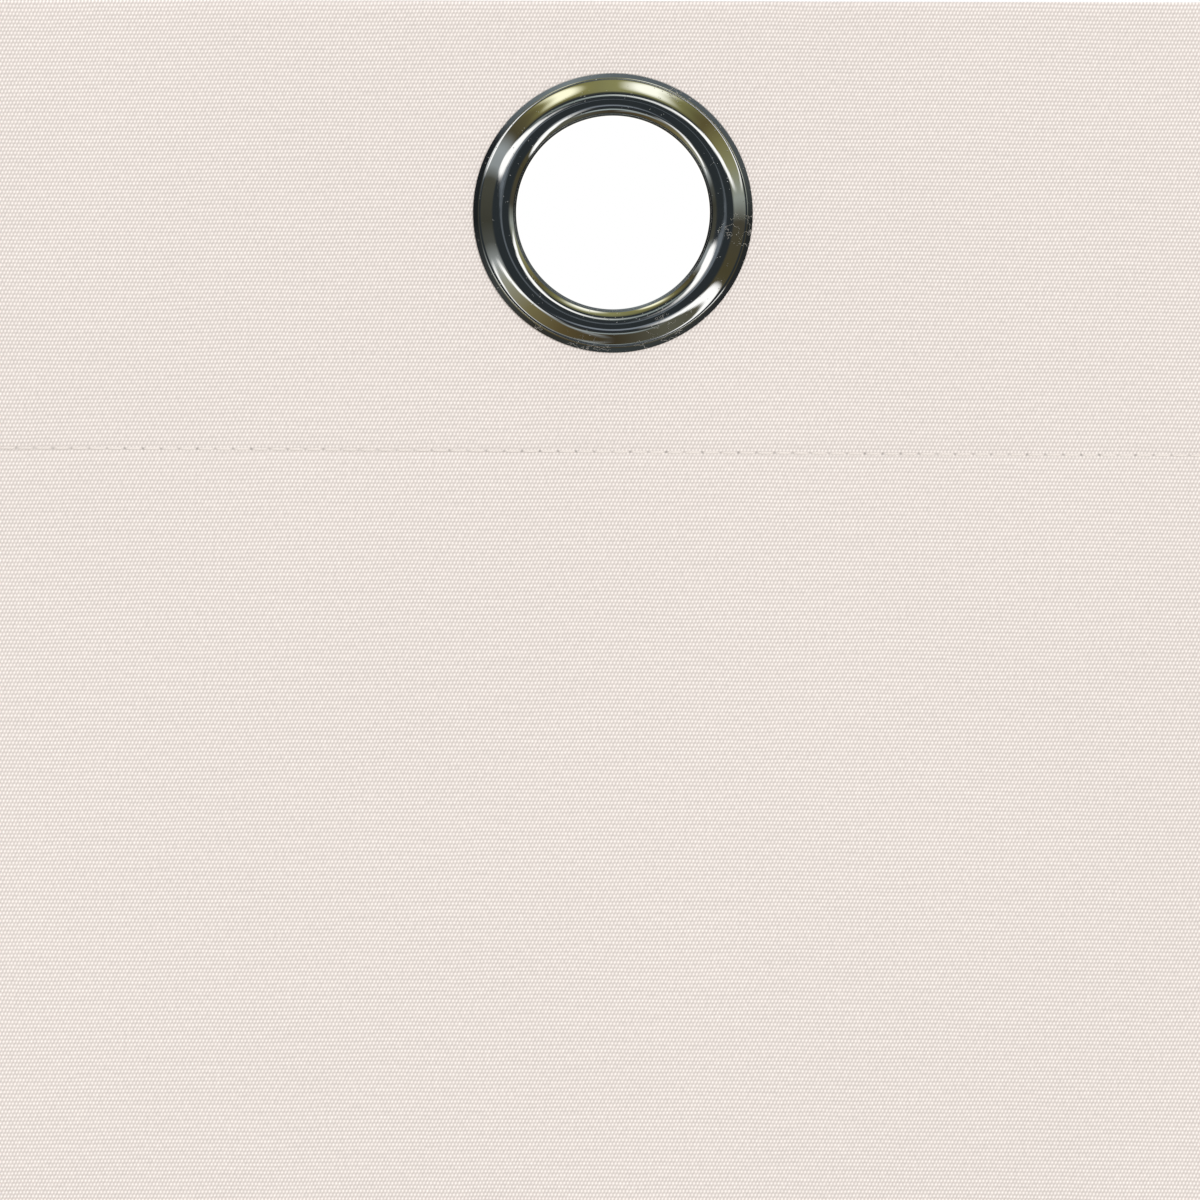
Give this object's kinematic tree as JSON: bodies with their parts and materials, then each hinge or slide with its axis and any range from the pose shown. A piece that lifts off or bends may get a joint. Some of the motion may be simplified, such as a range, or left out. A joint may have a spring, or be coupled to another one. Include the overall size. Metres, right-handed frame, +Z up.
{
  "type": "eyelet curtain panel",
  "caption": "Flat hemmed canvas curtain panel with a row of plated metal ring eyelets in a stitched header; it folds like a screen midway between the eyelets.",
  "frame": {"origin": "middle of the row of eyelet centres, half way through the panel cloth, on the straight line that runs through all the eyelet centres at rest", "axes": "+Z up, +X along the row of eyelets to the right as seen from the front, and the front of the cloth faces -Y"},
  "size_m": [1.27, 0.0069, 2.134],
  "materials": {
    "canvas": "matte",
    "thread": "satin",
    "plated_metal": "polished"
  },
  "bodies": {
    "section_1": {"panel_cloth_1": "canvas", "header_facing_1": "canvas", "header_stitching_1": "thread", "bottom_hem_1": "canvas", "eyelet_ring_1": "plated_metal", "eyelet_washer_1": "plated_metal", "side_hem_left": "canvas"},
    "section_2": {"panel_cloth_2": "canvas", "header_facing_2": "canvas", "header_stitching_2": "thread", "bottom_hem_2": "canvas", "eyelet_ring_2": "plated_metal", "eyelet_washer_2": "plated_metal"},
    "section_3": {"panel_cloth_3": "canvas", "header_facing_3": "canvas", "header_stitching_3": "thread", "bottom_hem_3": "canvas", "eyelet_ring_3": "plated_metal", "eyelet_washer_3": "plated_metal"},
    "section_4": {"panel_cloth_4": "canvas", "header_facing_4": "canvas", "header_stitching_4": "thread", "bottom_hem_4": "canvas", "eyelet_ring_4": "plated_metal", "eyelet_washer_4": "plated_metal"},
    "section_5": {"panel_cloth_5": "canvas", "header_facing_5": "canvas", "header_stitching_5": "thread", "bottom_hem_5": "canvas", "eyelet_ring_5": "plated_metal", "eyelet_washer_5": "plated_metal"},
    "section_6": {"panel_cloth_6": "canvas", "header_facing_6": "canvas", "header_stitching_6": "thread", "bottom_hem_6": "canvas", "eyelet_ring_6": "plated_metal", "eyelet_washer_6": "plated_metal"},
    "section_7": {"panel_cloth_7": "canvas", "header_facing_7": "canvas", "header_stitching_7": "thread", "bottom_hem_7": "canvas", "eyelet_ring_7": "plated_metal", "eyelet_washer_7": "plated_metal"},
    "section_8": {"panel_cloth_8": "canvas", "header_facing_8": "canvas", "header_stitching_8": "thread", "bottom_hem_8": "canvas", "eyelet_ring_8": "plated_metal", "eyelet_washer_8": "plated_metal", "side_hem_right": "canvas"}
  },
  "joints": [
    {"name": "fold_2", "type": "hinge", "parent": "section_2", "child": "section_3", "pos_m": [-0.33143, 0.00045, 0], "axis": [0, 0, 1], "range_deg": [0, 150]},
    {"name": "fold_1", "type": "hinge", "parent": "section_2", "child": "section_1", "pos_m": [-0.49714, 0.00045, 0], "axis": [0, 0, 1], "range_deg": [0, 150]},
    {"name": "fold_3", "type": "hinge", "parent": "section_3", "child": "section_4", "pos_m": [-0.16571, 0.00045, 0], "axis": [0, 0, 1], "range_deg": [-150, 0]},
    {"name": "fold_4", "type": "hinge", "parent": "section_4", "child": "section_5", "pos_m": [0, 0.00045, 0], "axis": [0, 0, 1], "range_deg": [0, 150]},
    {"name": "fold_5", "type": "hinge", "parent": "section_5", "child": "section_6", "pos_m": [0.16571, 0.00045, 0], "axis": [0, 0, 1], "range_deg": [-150, 0]},
    {"name": "fold_6", "type": "hinge", "parent": "section_6", "child": "section_7", "pos_m": [0.33143, 0.00045, 0], "axis": [0, 0, 1], "range_deg": [0, 150]},
    {"name": "fold_7", "type": "hinge", "parent": "section_7", "child": "section_8", "pos_m": [0.49714, 0.00045, 0], "axis": [0, 0, 1], "range_deg": [-150, 0]}
  ],
  "couplings": [
    {"joint": "fold_1", "follows": "fold_2", "ratio": 1},
    {"joint": "fold_3", "follows": "fold_2", "ratio": -1},
    {"joint": "fold_4", "follows": "fold_2", "ratio": 1},
    {"joint": "fold_5", "follows": "fold_2", "ratio": -1},
    {"joint": "fold_6", "follows": "fold_2", "ratio": 1},
    {"joint": "fold_7", "follows": "fold_2", "ratio": -1}
  ]
}
